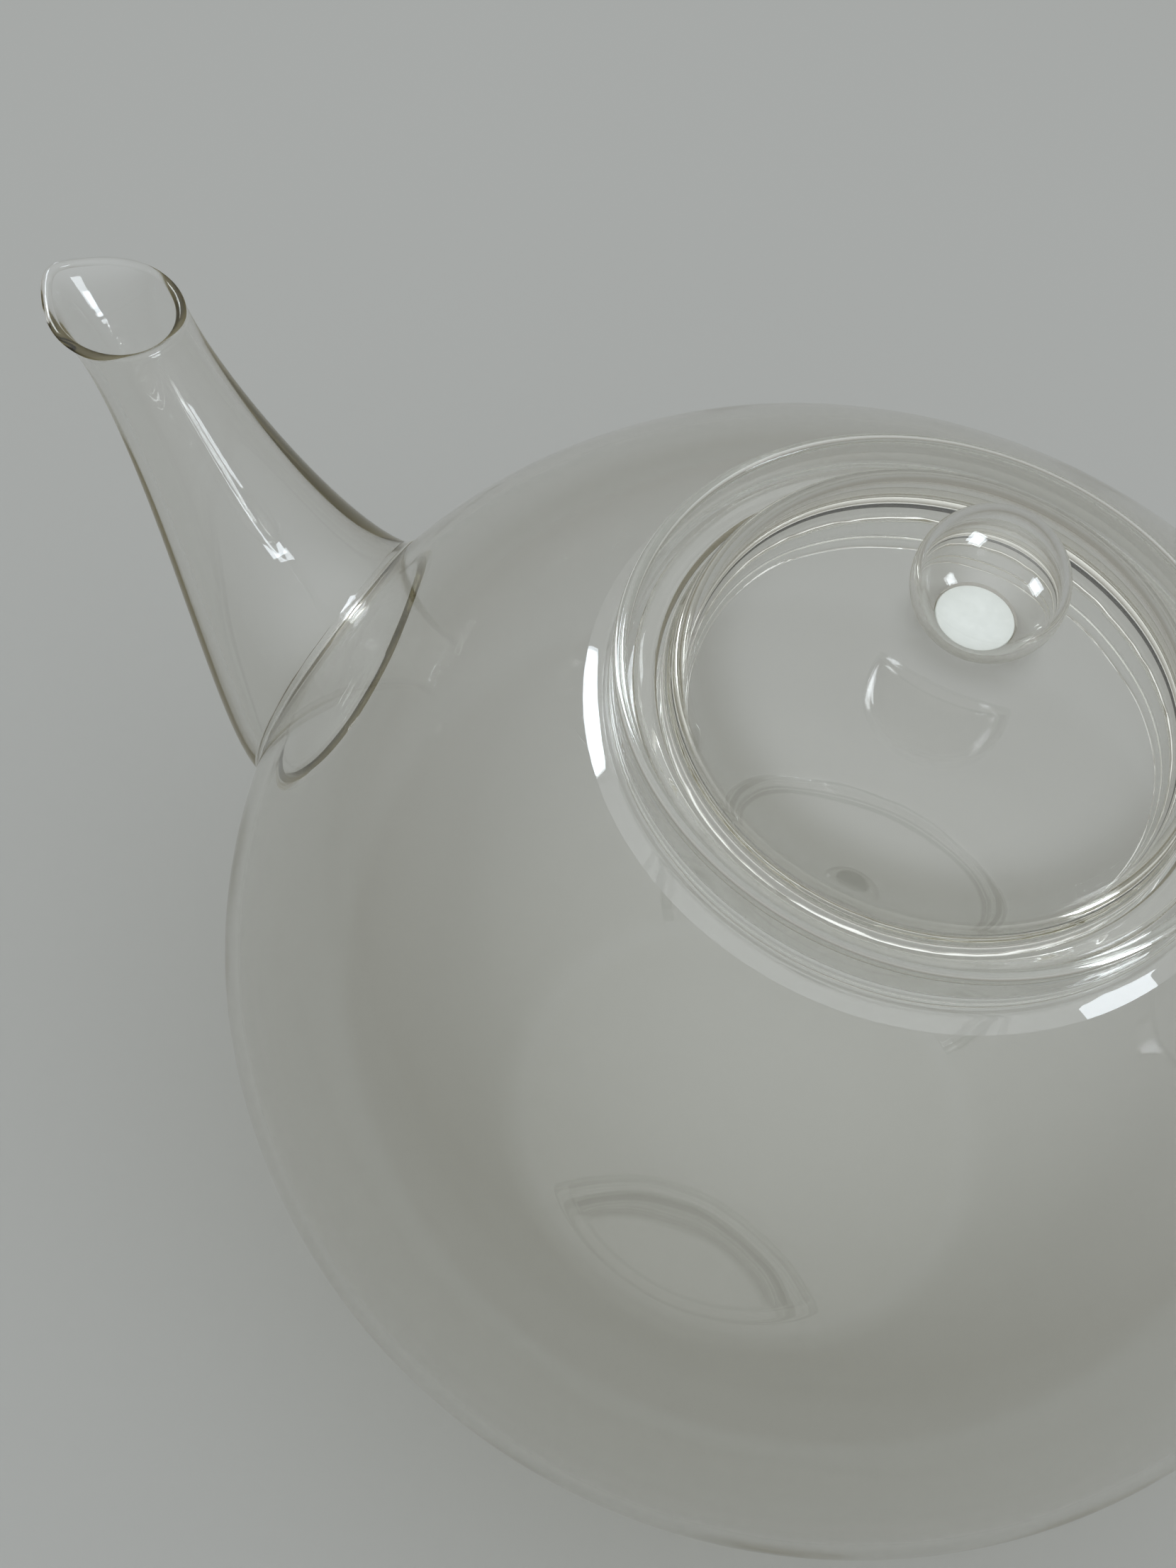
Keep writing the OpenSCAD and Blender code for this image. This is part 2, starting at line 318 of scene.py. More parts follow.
def clear_glass(name, depth_tint, density, ripple, ripple_size):
    """Clear glass with a faint ripple left by blowing, which takes on its tint with depth. Lamps
    and soft light reach through it, so that its shadow is pale, and darker only where it is
    seen on edge. Light that has turned more often than long_way inside the wall ends in a
    painted glow: a fixed olive-brown light that stands in for the dark edges of the glass."""
    material = bpy.data.materials.new(name)
    material.use_nodes = True
    nodes, links = material.node_tree.nodes, material.node_tree.links
    glass = nodes["Principled BSDF"]
    glass.inputs["Base Color"].default_value = (1, 1, 1, 1)
    glass.inputs["Transmission Weight"].default_value = 1
    glass.inputs["Roughness"].default_value = 0
    glass.inputs["IOR"].default_value = 1.47
    place = nodes.new("ShaderNodeTexCoord")
    noise = nodes.new("ShaderNodeTexNoise")
    noise.inputs["Scale"].default_value = ripple_size
    noise.inputs["Detail"].default_value = 1.5
    links.new(place.outputs["Object"], noise.inputs["Vector"])
    bump = nodes.new("ShaderNodeBump")
    bump.inputs["Strength"].default_value = 1
    bump.inputs["Distance"].default_value = ripple
    links.new(noise.outputs["Fac"], bump.inputs["Height"])
    links.new(bump.outputs["Normal"], glass.inputs["Normal"])
    depth = nodes.new("ShaderNodeVolumeAbsorption")
    depth.inputs["Color"].default_value = (*depth_tint, 1)
    depth.inputs["Density"].default_value = density
    links.new(depth.outputs["Volume"], nodes["Material Output"].inputs["Volume"])
    edge = nodes.new("ShaderNodeLayerWeight")
    edge.inputs["Blend"].default_value = 0.3
    shadow = nodes.new("ShaderNodeMix")
    shadow.data_type = "RGBA"
    shadow.inputs["A"].default_value = (0.98, 0.98, 0.975, 1)
    shadow.inputs["B"].default_value = (0.72, 0.72, 0.7, 1)
    links.new(edge.outputs["Facing"], shadow.inputs["Factor"])
    through = nodes.new("ShaderNodeBsdfTransparent")
    links.new(shadow.outputs["Result"], through.inputs["Color"])
    path = nodes.new("ShaderNodeLightPath")
    soft = nodes.new("ShaderNodeMath")
    soft.operation = "MAXIMUM"
    links.new(path.outputs["Is Shadow Ray"], soft.inputs[0])
    links.new(path.outputs["Is Diffuse Ray"], soft.inputs[1])
    trapped = nodes.new("ShaderNodeMath")
    trapped.operation = "GREATER_THAN"
    trapped.inputs[1].default_value = long_way
    links.new(path.outputs["Ray Depth"], trapped.inputs[0])
    # Painted light: a fixed olive-brown glow for rays deeper than long_way, standing in for the
    # dark edges of the glass.
    painted_edge_glow = nodes.new("ShaderNodeEmission")
    painted_edge_glow.inputs["Color"].default_value = (0.3, 0.28, 0.2, 1)
    inside = nodes.new("ShaderNodeMixShader")
    links.new(trapped.outputs[0], inside.inputs[0])
    links.new(glass.outputs["BSDF"], inside.inputs[1])
    links.new(painted_edge_glow.outputs["Emission"], inside.inputs[2])
    mix = nodes.new("ShaderNodeMixShader")
    links.new(soft.outputs[0], mix.inputs[0])
    links.new(inside.outputs["Shader"], mix.inputs[1])
    links.new(through.outputs["BSDF"], mix.inputs[2])
    links.new(mix.outputs["Shader"], nodes["Material Output"].inputs["Surface"])
    return material


blown_glass = clear_glass("blown_glass", (0.47, 0.44, 0.28), 54, 0.0001, 34)
bulb.data.materials.append(blown_glass)
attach(bulb, "pot")
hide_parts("bulb")


# ---- Neck ring --------------------------------------------------------------------------
# A short ring of heavier tube melted round the opening. It opens out a little towards its
# fire-rounded rim, and a small hollow sweep runs from it into the bulb.

ring_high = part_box("neck_ring")[1]
neck_wall = 0.0017
neck_flare = 0.0004
neck_sweep = 0.0032
ring_top = ring_high.z
neck_r = ring_high.y - neck_sweep * 0.6 - neck_wall
edge = neck_wall / 2
neck_outer = neck_r + neck_wall
foot_r = np.linspace(neck_outer + 0.85 * neck_sweep, neck_r, 14)
foot = np.stack([foot_r, oval_height(foot_r, bulb_r, bulb_half_height) + melt_gap], 1)
sweep_foot = oval_height(neck_outer, bulb_r, bulb_half_height)
sweep_centre = (neck_outer + neck_sweep, sweep_foot + 0.75 * neck_sweep)
ring_profile = np.concatenate([
    foot,
    arc((neck_r + neck_flare + edge, ring_top - edge), edge, 180, 0, 17),
    arc(sweep_centre, neck_sweep, 178, 240, 14),
])
ring_columns = 256
neck = glass_object(
    "neck_ring_glass",
    turned(ring_profile[::-1], ring_columns),
    lattice(len(ring_profile), ring_columns, True),
)
rim_glass = clear_glass("rim_glass", (0.42, 0.46, 0.33), 30, 0.00005, 60)
neck.data.materials.append(rim_glass)
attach(neck, "pot")
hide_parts("neck_ring")


# ---- Spout ------------------------------------------------------------------------------
# A tube drawn out to a taper and bent up, melted over the hole in the bulb. Its mouth is cut
# level and rounded in the flame, and its outer edge is pulled into a small pouring lip.

spout_reach = 0.0336
spout_rise = 0.046
mouth_centre = np.array([bulb_r + spout_reach, 0.0, root_z + spout_rise])
mouth_r = 0.0088
root_pull = 0.026
root_dip = math.radians(16)
root_narrowing = 0.0026
mouth_pull = 0.03
mouth_lean = math.radians(35)
mouth_flare = 0.0116
lip_pull = 0.0016
lip_spread = 34
lip_pinch = 0.15
lip_rise = 0.3
mouth_tilt = 0.05


def staves(u, turn, cut, half_width, half_height):
    """Surface of the spout: for each turn round it, a cubic curve that leaves the ring on the
    bulb with one direction and reaches the ring at the mouth with another (Hermite's form).
    cut takes both rings in by the wall. Rows go from the bulb to the mouth."""
    ray = np.cos(turn)[:, None] * root_up + np.sin(turn)[:, None] * side_y
    start = root_ring(turn, spout_root_r - cut, half_width, half_height) + melt_gap * root_out
    dip = np.array([math.cos(root_dip), 0, -math.sin(root_dip)])
    leave = root_pull * dip - root_narrowing * ray
    lip = np.exp(-(((np.degrees(turn) % 360 - 180) / lip_spread) ** 2))
    pull = lip_pull * lip
    out = (mouth_r - cut) * np.cos(turn)
    side = (mouth_r - cut) * np.sin(turn)
    narrowed = side * (1 - lip_pinch * lip)
    end = mouth_centre + np.stack([pull - out, narrowed, lip_rise * pull - mouth_tilt * out], 1)
    lean_up = np.array([-math.sin(mouth_lean), 0, math.cos(mouth_lean)])
    open_out = np.cos(turn)[:, None] * lean_up + np.sin(turn)[:, None] * side_y
    lean = np.array([math.cos(mouth_lean), 0, math.sin(mouth_lean)])
    arrive = mouth_pull * lean + mouth_flare * open_out
    u = u[:, None, None]
    return (
        (2 * u**3 - 3 * u**2 + 1) * start
        + (u**3 - 2 * u**2 + u) * leave
        + (3 * u**2 - 2 * u**3) * end
        + (u**3 - u**2) * arrive
    )


spout_turn = np.linspace(0, 2 * np.pi, 144, endpoint=False)
along = np.linspace(0, 1, 110)
outer_skin = staves(along, spout_turn, 0, bulb_r, bulb_half_height)
inner_skin = staves(along[::-1], spout_turn, spout_wall, inner_r, inner_half_height)

# The mouth's rim is half a circle from the outer skin to the inner one. It bulges the way that
# the tube runs there, squared to the wall and made as long as half the wall.
middle = (outer_skin[-1] + inner_skin[0]) / 2
half_wall = (outer_skin[-1] - inner_skin[0]) / 2
ahead = outer_skin[-1] - outer_skin[-3]
half_size = np.linalg.norm(half_wall, axis=1, keepdims=True)
ahead -= (ahead * half_wall).sum(1, keepdims=True) / half_size**2 * half_wall
ahead *= half_size / np.linalg.norm(ahead, axis=1, keepdims=True)
bend = np.linspace(0, np.pi, 11)[1:-1, None, None]
rim = middle + half_wall * np.cos(bend) + ahead * np.sin(bend)
spout_skin = np.concatenate([outer_skin, rim, inner_skin])
spout = glass_object(
    "spout_glass",
    mirrored(spout_skin),
    lattice(len(spout_skin), len(spout_turn), True),
)
spout.data.materials.append(blown_glass)
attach(spout, "pot")
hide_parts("spout")


# ---- Weld bead --------------------------------------------------------------------------
# A thin fillet of glass melted into the corner between the spout's foot and the bulb. It runs
# once round the hole and shows as a fine bright line.

bead_reach = 0.0011
bead_step = 0.0008
bead_hollow = 0.3
corner = root_ring(spout_turn, spout_root_r, bulb_r, bulb_half_height)
past_corner = root_ring(spout_turn, spout_root_r + bead_step, bulb_r, bulb_half_height)
down_bulb = past_corner - corner
up_spout = outer_skin[2] - outer_skin[0]
down_bulb /= np.linalg.norm(down_bulb, axis=1, keepdims=True)
up_spout /= np.linalg.norm(up_spout, axis=1, keepdims=True)
lift = (down_bulb + up_spout) * 2 * melt_gap
heel = corner + lift
on_spout = heel + up_spout * bead_reach
on_bulb = heel + down_bulb * bead_reach

# The bead's face is hollow: a quadratic curve from the spout to the bulb, whose middle point
# lies near the corner.
share = np.linspace(0, 1, 9)[:, None, None]
inmost = heel + (up_spout + down_bulb) * bead_hollow * bead_reach
hollow = (1 - share) ** 2 * on_spout + share**2 * on_bulb + 2 * share * (1 - share) * inmost
bead_rings = np.concatenate([hollow, heel[None]])
weld = glass_object(
    "spout_weld_glass",
    mirrored(bead_rings),
    lattice(len(bead_rings), len(spout_turn), True),
)
weld.data.materials.append(rim_glass)
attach(weld, "pot")
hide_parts("spout_weld")


# ---- Handle -----------------------------------------------------------------------------
# A solid rod of the same glass bent to an ear, with its ends pressed on two round pads that
# are melted to the bulb's shoulder and belly.

rod_r = 0.00475
rod_columns = 64
rod_swell = 0.25
swell_reach = 0.05
lean_reach = 0.06
pad_r = 0.0085
pad_t = 0.0036
pad_melt = 0.0011
pad_stand = pad_t - pad_melt
pad_top = girth_z + 0.038
pad_foot = girth_z - 0.018
handle_back = bulb_r + 0.038
handle_top_in = 0.0066
handle_foot_out = 0.0213
ear_height = pad_top - pad_foot
top_spot, top_out = wall_spot(pad_top)
foot_spot, foot_out = wall_spot(pad_foot)
rod_stand = pad_stand + melt_gap
bends = np.array([
    (top_spot + rod_stand * top_out)[::2],
    [handle_back - handle_top_in, pad_top + 0.6 * ear_height],
    [handle_back + handle_foot_out, pad_foot + 0.2 * ear_height],
    (foot_spot + rod_stand * foot_out)[::2],
])


def capped(name, rings):
    """A piece made of rings of points, closed at both ends by a fan round the ring's middle."""
    count, around = rings.shape[0] * rings.shape[1], rings.shape[1]
    hubs = np.stack([rings[0].mean(0), rings[-1].mean(0)])
    first, last = np.arange(around)[::-1], count - around + np.arange(around)
    return glass_object(
        name,
        np.concatenate([rings.reshape(-1, 3), hubs]),
        lattice(rings.shape[0], around, False),
        [(count, first), (count + 1, last)],
    )


def near_end(share, reach):
    """Falls from one at an end to nothing beyond a reach along the rod, as a bell does."""
    return np.exp(-((share / reach) ** 2))


def rod(u, r):
    """A round rod along a cubic curve from the first bend to the last, drawn towards the two
    between them (Bezier's form): rings across its direction. Near both ends each ring leans over
    until it lies flat on its pad."""
    u = u[:, None]
    centre = (1 - u) ** 3 * bends[0] + 3 * (1 - u) ** 2 * u * bends[1]
    centre = centre + 3 * (1 - u) * u**2 * bends[2] + u**3 * bends[3]
    way = (1 - u) ** 2 * (bends[1] - bends[0]) + 2 * (1 - u) * u * (bends[2] - bends[1])
    way = way + u**2 * (bends[3] - bends[2])
    way /= np.linalg.norm(way, axis=1, keepdims=True)
    a = np.linspace(0, 2 * np.pi, rod_columns, endpoint=False)
    out = r[:, None] * np.cos(a)
    across = np.stack([-way[:, 1], way[:, 0]], 1)
    lean = np.zeros(len(u))
    for pad_out, from_pad in ((top_out[::2], u[:, 0]), (foot_out[::2], 1 - u[:, 0])):
        lean -= near_end(from_pad, lean_reach) * (across @ pad_out) / (way @ pad_out)
    x = centre[:, :1] + (across[:, :1] + lean[:, None] * way[:, :1]) * out
    z = centre[:, 1:] + (across[:, 1:] + lean[:, None] * way[:, 1:]) * out
    y = r[:, None] * np.sin(a)
    return np.stack([x, y, z], 2)


rod_u = np.linspace(0, 1, 160)
swell = 1 + rod_swell * (near_end(rod_u, swell_reach) + near_end(1 - rod_u, swell_reach))
handle = capped("handle_glass", rod(rod_u, rod_r * swell))
rod_glass = clear_glass("rod_glass", (0.42, 0.4, 0.15), 12, 0.00006, 40)
handle.data.materials.append(rod_glass)
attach(handle, "pot")
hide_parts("handle")


def pad_rings(spot, out):
    """A round pad on the bulb: a rounded edge and a flat top, with its underside laid on the
    oval along the pad's own direction. Rings go outwards underneath and back in on top."""
    up = np.array([-out[2], 0, out[0]])
    a = np.linspace(0, 2 * np.pi, rod_columns, endpoint=False)
    ray = np.cos(a)[:, None] * up + np.sin(a)[:, None] * side_y
    edge_r = 0.45 * pad_stand
    section = np.concatenate([
        arc((pad_r - edge_r, 1.1 * edge_r), edge_r, -50, 80, 10),
        np.stack([np.linspace(0.62, 0.12, 7) * pad_r, np.full(7, pad_stand)], 1),
    ])
    top = spot + section[:, :1, None] * ray + section[:, 1:, None] * out
    under_r = np.linspace(0.12, 0.9, 9)[:, None, None] * pad_r
    under = onto_oval(spot + under_r * ray, bulb_r, bulb_half_height, out) + melt_gap * out
    return np.concatenate([under, top])


for name, node, spot, out in (
    ("handle_top_pad_glass", "handle_top_pad", top_spot, top_out),
    ("handle_foot_pad_glass", "handle_foot_pad", foot_spot, foot_out),
):
    pad = capped(name, pad_rings(spot, out))
    pad.data.materials.append(rod_glass)
    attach(pad, "pot")
    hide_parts(node)


# ---- Lid dome ---------------------------------------------------------------------------
# One sheet of glass: a flat rim that rests inside the neck ring, a flat-topped dome, a hollow
# stem drawn up from its middle to carry the knob, and a short collar for the skirt.

dome_low, dome_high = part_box("lid_dome")
lid_wall = 0.0017
rim_r = dome_high.y
dome_rise = 0.0114
dome_flat = 6
dome_r = opening_r - 0.001
skirt_wall = 0.0015
collar_z = dome_low.z
rim_z = collar_z + 0.003
dome_foot = rim_z + lid_wall
stem_top = dome_high.z
stem_r = 0.00475
join_r = stem_r + 0.005
bore_r = stem_r - 0.0009
join_turn = math.acos((join_r / dome_r) ** (dome_flat / 2))
fillet = 0.0009
corner_r = 0.0003
lid_columns = 320
dome_rows = 90
seam_rows = 9
seam_reach = 0.002
seam_lift = 0.0003


def shoulder(turn, depth):
    """Profile of the dome: an oval made square-shouldered by raising the cosine of the turn to a
    small power. depth goes into the wall, along the line square to the outside."""
    side = dome_rise * np.cos(turn)
    over = dome_r * 2 / dome_flat * np.cos(turn) ** (2 / dome_flat - 1) * np.sin(turn)
    size = np.hypot(side, over)
    r = dome_r * np.cos(turn) ** (2 / dome_flat) - depth * side / size
    return np.stack([r, dome_foot + dome_rise * np.sin(turn) - depth * over / size], 1)


def drawn_up(start, end_r, steps):
    """Quarter of an oval from the dome up to the top of the stem, level at its foot."""
    a = np.linspace(0, np.pi / 2, steps)
    r = start[0] + (end_r - start[0]) * np.sin(a)
    z = start[1] + (stem_top - start[1]) * (1 - np.cos(a))
    return np.stack([r, z], 1)


def seam_waver(turn):
    """How far the melted seam runs off its level: a sum of waves round the lid."""
    waves = np.sin(4 * turn + 0.6) + 0.8 * np.sin(9 * turn + 2.1) + 0.5 * np.sin(16 * turn)
    return 0.00011 * (waves + 0.5 * np.sin(31 * turn + 1.3) + 0.35 * np.sin(53 * turn))


def seam_shift(points, seam_z):
    """How far each point of a turned piece moves with the seam: the whole waver at the seam's
    level, less by a square further away, and nothing past its reach."""
    turn = np.arctan2(points[..., 1], points[..., 0])
    near = np.clip(1 - np.abs(points[..., 2] - seam_z) / seam_reach, 0, 1) ** 2
    return near * (seam_waver(turn) + seam_lift)


first_turn = math.asin(fillet / dome_rise)
last_turn = 0.02
over = shoulder(np.linspace(first_turn, join_turn, dome_rows), 0)
under = shoulder(np.linspace(join_turn, last_turn, dome_rows), lid_wall)
collar_in = dome_r - skirt_wall
collar_steps = np.linspace(rim_z - fillet, collar_z + corner_r, seam_rows)
dome_profile = np.concatenate([
    arc((rim_r - lid_wall / 2, rim_z + lid_wall / 2), lid_wall / 2, -90, 90, 13),
    arc((over[0, 0] + fillet, dome_foot + fillet), fillet, -90, -172, 8),
    over,
    drawn_up(over[-1], stem_r, 20)[1:],
    drawn_up(under[0], bore_r, 20)[::-1],
    under[1:],
    np.stack([np.full(seam_rows, collar_in), collar_steps], 1),
    arc((collar_in + corner_r, collar_z + corner_r), corner_r, 200, 270, 4),
    arc((dome_r - corner_r, collar_z + corner_r), corner_r, 270, 340, 4),
    np.stack([np.full(seam_rows, dome_r), collar_steps[::-1]], 1),
    arc((dome_r + fillet, rim_z - fillet), fillet, 172, 90, 8),
])
dome_points = turned(dome_profile, lid_columns)
dome_points[..., 2] += seam_shift(dome_points, collar_z)
dome = glass_object(
    "lid_dome_glass",
    dome_points,
    lattice(len(dome_profile), lid_columns, True),
)
dome.data.materials.append(blown_glass)
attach(dome, "lid")
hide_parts("lid_dome")


# ---- Lid skirt --------------------------------------------------------------------------
# A short tube melted to the collar under the dome, which keeps the lid in the opening. Its
# lower edge is rolled into a bead in the flame, and wavers a little as handwork does.

skirt_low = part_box("lid_skirt")[0]
skirt_mid = dome_r - skirt_wall / 2
bead_r = 0.00105
skirt_top = collar_z - melt_gap
skirt_foot = skirt_low.z
skirt_rows = 10
above_bead = 0.0024
foot_waver = 0.00012
foot_dent = 0.004
skirt_steps = np.linspace(skirt_foot + above_bead, skirt_top - corner_r, skirt_rows)
skirt_profile = np.concatenate([
    arc((dome_r - corner_r, skirt_top - corner_r), corner_r, 20, 90, 4),
    arc((collar_in + corner_r, skirt_top - corner_r), corner_r, 90, 160, 4),
    np.stack([np.full(skirt_rows, collar_in), skirt_steps[::-1]], 1),
    arc((skirt_mid, skirt_foot + bead_r), bead_r, 140, 400, 21),
    np.stack([np.full(skirt_rows, dome_r), skirt_steps], 1),
])
skirt_points = turned(skirt_profile, lid_columns)

# Towards the foot the skirt rises and falls by a sum of waves, and is drawn in a little by one
# slow wave. Both grow as the square of the distance below the seam.
turn = np.arctan2(skirt_points[..., 1], skirt_points[..., 0])
low = np.clip((skirt_top - skirt_points[..., 2]) / (skirt_top - skirt_foot), 0, 1) ** 2
waves = np.sin(5 * turn + 1) + 0.7 * np.sin(9 * turn + 2.2) + 0.5 * np.sin(17 * turn)
drawn_in = 1 - foot_dent * low * np.abs(np.sin(3.5 * turn + 0.4))
skirt_points[..., 2] += seam_shift(skirt_points, skirt_top) + foot_waver * low * (waves + 2.2)
skirt_points[..., :2] *= drawn_in[..., None]
skirt = glass_object(
    "lid_skirt_glass",
    skirt_points,
    lattice(len(skirt_profile), lid_columns, True),
)
skirt.data.materials.append(rim_glass)
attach(skirt, "lid")
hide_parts("lid_skirt")


# ---- Ball knob --------------------------------------------------------------------------
# A hollow ball blown at the end of the stem, thin and round. Its foot stays open and hugs the
# top of the stem, where it is melted on.

knob_low, knob_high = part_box("knob_ball")
knob_r = (knob_high.y - knob_low.y) / 2
knob_wall = 0.0009
knob_in_r = knob_r - knob_wall
knob_z = knob_high.z - knob_r
knob_foot_r = stem_r + 0.0001
ball_columns = 128
ball_rows = 60
ball_top = 89
foot_out_turn = math.degrees(math.asin(knob_foot_r / knob_r)) - 90
foot_in_turn = math.degrees(math.asin(knob_foot_r / knob_in_r)) - 90
ball_profile = np.concatenate([
    arc((0, knob_z), knob_r, foot_out_turn, ball_top, ball_rows),
    arc((0, knob_z), knob_in_r, ball_top, foot_in_turn, ball_rows),
])

# Rows run up the outside and down the inside, joined at the foot. The row of faces between the
# two tops is left out, and each top is closed by a fan.
ball_grid = lattice(2 * ball_rows, ball_columns, True).reshape(2 * ball_rows, ball_columns, 4)
ball_tops = np.array([[0, 0, knob_z + knob_r], [0, 0, knob_z + knob_in_r]])
top_hub = 2 * ball_rows * ball_columns
top_ring = (ball_rows - 1) * ball_columns + np.arange(ball_columns)
ball = glass_object(
    "knob_ball_glass",
    np.concatenate([turned(ball_profile, ball_columns).reshape(-1, 3), ball_tops]),
    np.delete(ball_grid, ball_rows - 1, axis=0).reshape(-1, 4),
    [(top_hub, top_ring), (top_hub + 1, (top_ring + ball_columns)[::-1])],
)
ball.data.materials.append(blown_glass)
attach(ball, "lid")
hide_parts("knob_ball")


# ---- Knob disc --------------------------------------------------------------------------
# The small disc that closes the stem under the ball. Its faces are left finely ground, so it
# looks pale where the rest is clear.

disc_r = stem_r - 0.00005
disc_edge = 0.0002
disc_hub_r = 0.0006
disc_foot = stem_top + melt_gap
disc_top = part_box("knob_disc")[1].z
disc_profile = np.concatenate([
    [[disc_hub_r, disc_foot]],
    arc((disc_r - disc_edge, disc_foot + disc_edge), disc_edge, -90, 0, 5),
    arc((disc_r - disc_edge, disc_top - disc_edge), disc_edge, 0, 90, 5),
    [[disc_hub_r, disc_top]],
])
disc = capped("knob_disc_glass", turned(disc_profile, 96))

# The ground surface scatters light, with a fine grain in its tone.
ground = bpy.data.materials.new("ground_glass")
ground.use_nodes = True
ground_nodes, ground_links = ground.node_tree.nodes, ground.node_tree.links
ground_shader = ground_nodes["Principled BSDF"]
ground_shader.inputs["Roughness"].default_value = 0.45
ground_shader.inputs["IOR"].default_value = 1.47
ground_place = ground_nodes.new("ShaderNodeTexCoord")
ground_grain = ground_nodes.new("ShaderNodeTexNoise")
ground_grain.inputs["Scale"].default_value = 900
ground_grain.inputs["Detail"].default_value = 3
ground_links.new(ground_place.outputs["Object"], ground_grain.inputs["Vector"])
ground_tone = ground_nodes.new("ShaderNodeMix")
ground_tone.data_type = "RGBA"
ground_tone.inputs["A"].default_value = (0.56, 0.58, 0.565, 1)
ground_tone.inputs["B"].default_value = (0.66, 0.68, 0.665, 1)
ground_links.new(ground_grain.outputs["Fac"], ground_tone.inputs["Factor"])
ground_links.new(ground_tone.outputs["Result"], ground_shader.inputs["Base Color"])
disc.data.materials.append(ground)
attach(disc, "lid")
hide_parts("knob_disc")


# ---- Floor, light and camera ------------------------------------------------------------
# A pale floor with a painted pool of light round the pot, the even light of a room, two soft
# panels like windows on either side, and the camera close above the pot, looking down past the
# knob.

half = 15
floor_corners = [(-half, -half, 0), (half, -half, 0), (half, half, 0), (-half, half, 0)]
floor_mesh = bpy.data.meshes.new("floor")
floor_mesh.from_pydata(floor_corners, [], [(0, 1, 2, 3)])
floor_sheet = bpy.data.objects.new("floor", floor_mesh)
floor_sheet.location.z = -0.0002
bpy.context.scene.collection.objects.link(floor_sheet)
floor_paint = bpy.data.materials.new("floor_paint")
floor_paint.use_nodes = True
floor_shader = floor_paint.node_tree.nodes["Principled BSDF"]
floor_shader.inputs["Roughness"].default_value = 0.85
floor_nodes, floor_links = floor_paint.node_tree.nodes, floor_paint.node_tree.links
# Painted pool of light: the floor goes from a lighter grey within 0.2 m of the pot's foot to a
# darker warm grey past 0.9 m.
floor_place = floor_nodes.new("ShaderNodeTexCoord")
floor_reach = floor_nodes.new("ShaderNodeVectorMath")
floor_reach.operation = "LENGTH"
floor_links.new(floor_place.outputs["Object"], floor_reach.inputs[0])
floor_light_falloff = floor_nodes.new("ShaderNodeMapRange")
floor_light_falloff.interpolation_type = "SMOOTHSTEP"
floor_light_falloff.inputs["From Min"].default_value = 0.2
floor_light_falloff.inputs["From Max"].default_value = 0.9
floor_links.new(floor_reach.outputs["Value"], floor_light_falloff.inputs["Value"])
floor_painted_light = floor_nodes.new("ShaderNodeMix")
floor_painted_light.data_type = "RGBA"
floor_painted_light.inputs["A"].default_value = (0.38, 0.38, 0.37, 1)
floor_painted_light.inputs["B"].default_value = (0.26, 0.25, 0.222, 1)
floor_links.new(floor_light_falloff.outputs["Result"], floor_painted_light.inputs["Factor"])
floor_links.new(floor_painted_light.outputs["Result"], floor_shader.inputs["Base Color"])
floor_sheet.data.materials.append(floor_paint)

# The two panels light only the pieces in this collection. The blown walls of the bulb and the
# dome are left to the light of the room, so that no sharp-edged patch lies across them.
thick_pieces = bpy.data.collections.new("thick_pieces")
for piece in bpy.context.scene.objects:
    if piece.name.endswith("_glass") and piece not in (bulb, dome):
        thick_pieces.objects.link(piece)

window_distance = 1.7
window_target = Vector((0, 0, 0.08))


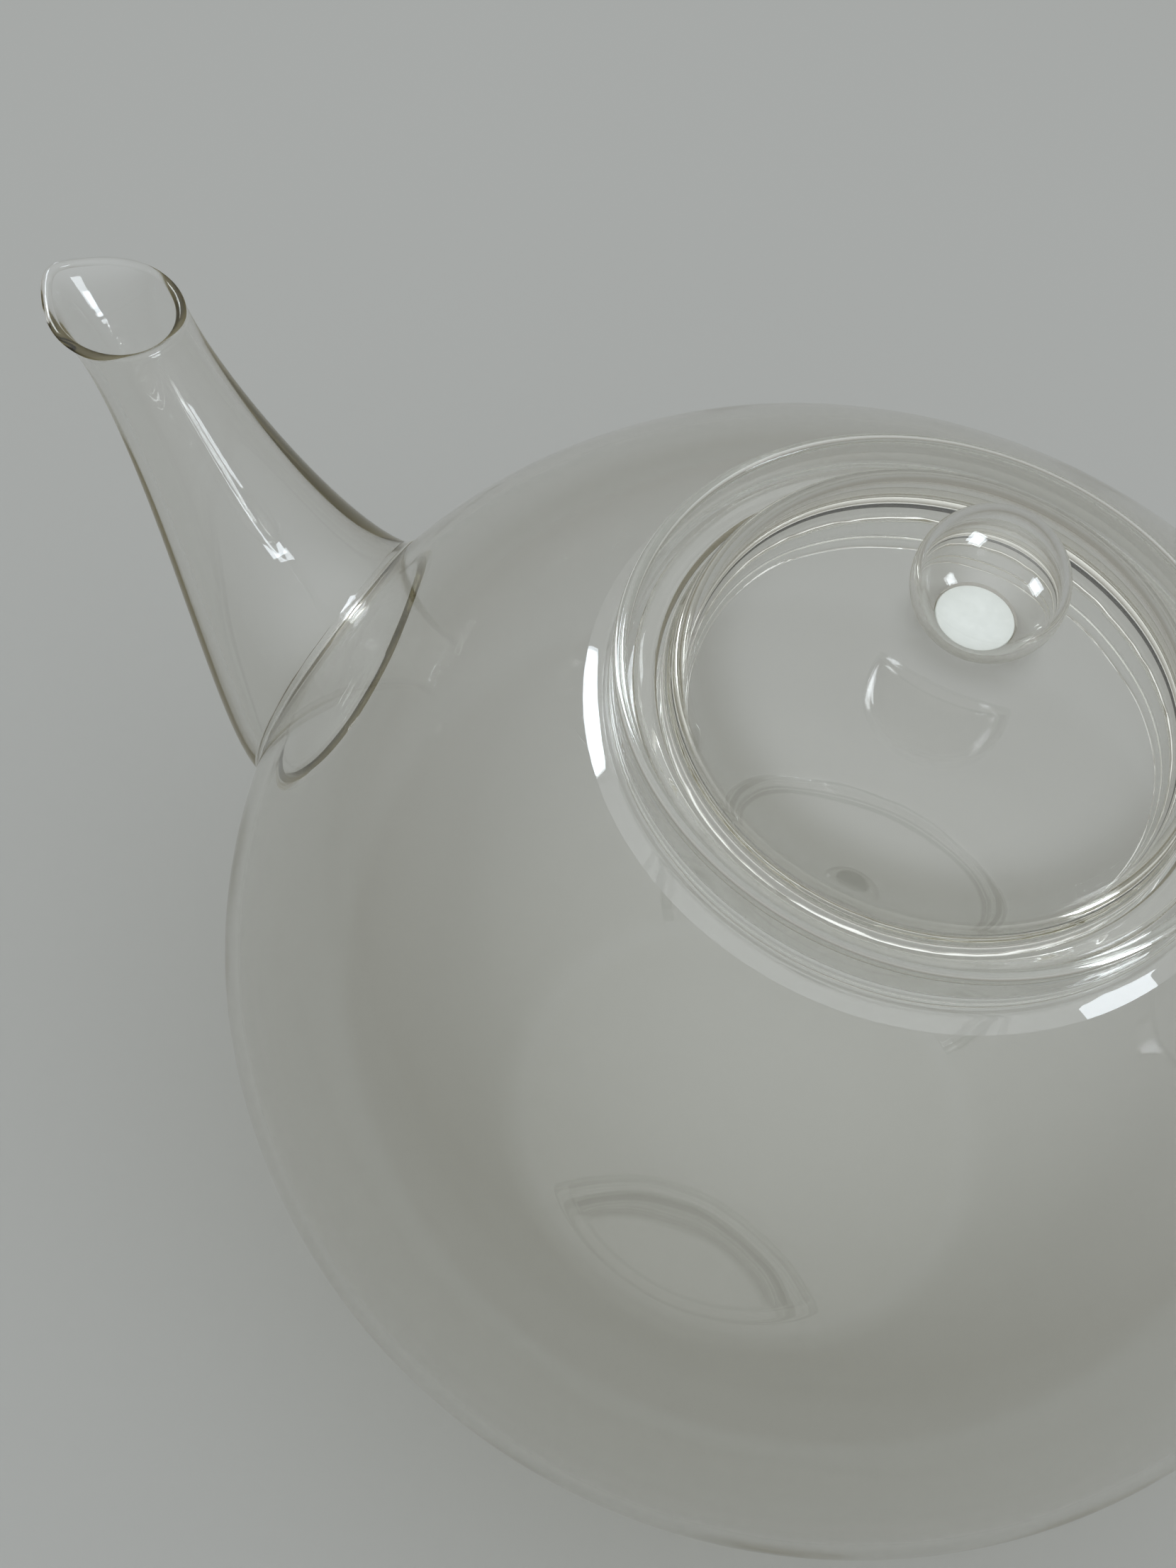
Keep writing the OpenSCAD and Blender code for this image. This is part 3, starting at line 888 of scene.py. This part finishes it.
def window(name, azimuth, height, width, tall, power):
    """A soft rectangular light at a fixed distance from the pot's foot, placed by an azimuth and
    a height in degrees, and turned to face the middle of the pot."""
    a, h = math.radians(azimuth), math.radians(height)
    way = Vector((math.cos(h) * math.cos(a), math.cos(h) * math.sin(a), math.sin(h)))
    place = window_distance * way
    lamp = bpy.data.lights.new(name, "AREA")
    lamp.shape = "RECTANGLE"
    lamp.size = width
    lamp.size_y = tall
    lamp.energy = power
    lamp.color = (0.86, 0.93, 1.0)
    stand = bpy.data.objects.new(name, lamp)
    stand.location = place
    stand.rotation_euler = (window_target - place).to_track_quat("-Z", "Y").to_euler()
    stand.light_linking.receiver_collection = thick_pieces
    bpy.context.scene.collection.objects.link(stand)


window("left_window", 157, 48, 0.46, 0.56, 9.8)
window("right_window", 4, 33, 0.44, 0.55, 9.5)

world = bpy.data.worlds.new("studio")
world.use_nodes = True
bpy.context.scene.world = world
world_nodes, world_links = world.node_tree.nodes, world.node_tree.links
sky = world_nodes["Background"]
sky.inputs["Strength"].default_value = 1.95
sky_place = world_nodes.new("ShaderNodeTexCoord")
sky_split = world_nodes.new("ShaderNodeSeparateXYZ")
sky_ramp = world_nodes.new("ShaderNodeValToRGB")
sky_ramp.color_ramp.elements[0].position = 0.02
sky_ramp.color_ramp.elements[0].color = (0.142, 0.136, 0.12, 1)
sky_ramp.color_ramp.elements[1].position = 0.92
sky_ramp.color_ramp.elements[1].color = (0.72, 0.75, 0.76, 1)
half_way = sky_ramp.color_ramp.elements.new(0.45)
half_way.color = (0.3, 0.305, 0.3, 1)
world_links.new(sky_place.outputs["Generated"], sky_split.inputs["Vector"])
world_links.new(sky_split.outputs["Z"], sky_ramp.inputs["Fac"])
world_links.new(sky_ramp.outputs["Color"], sky.inputs["Color"])

view = bpy.data.cameras.new("camera")
view.sensor_fit = "AUTO"
view.sensor_width = 36
view.lens = 55.35
view.clip_start = 0.02
camera = bpy.data.objects.new("camera", view)
camera.location = (0.01494, -0.17394, 0.33399)
camera.rotation_euler = [math.radians(a) for a in (33.0209, -8.1481, 29.2284)]
bpy.context.scene.collection.objects.link(camera)
bpy.context.scene.camera = camera
bpy.context.scene.cycles.max_bounces = 24
bpy.context.scene.cycles.glossy_bounces = 24
bpy.context.scene.cycles.transmission_bounces = 24
bpy.context.scene.cycles.transparent_max_bounces = 40
bpy.context.scene.view_settings.view_transform = "Standard"
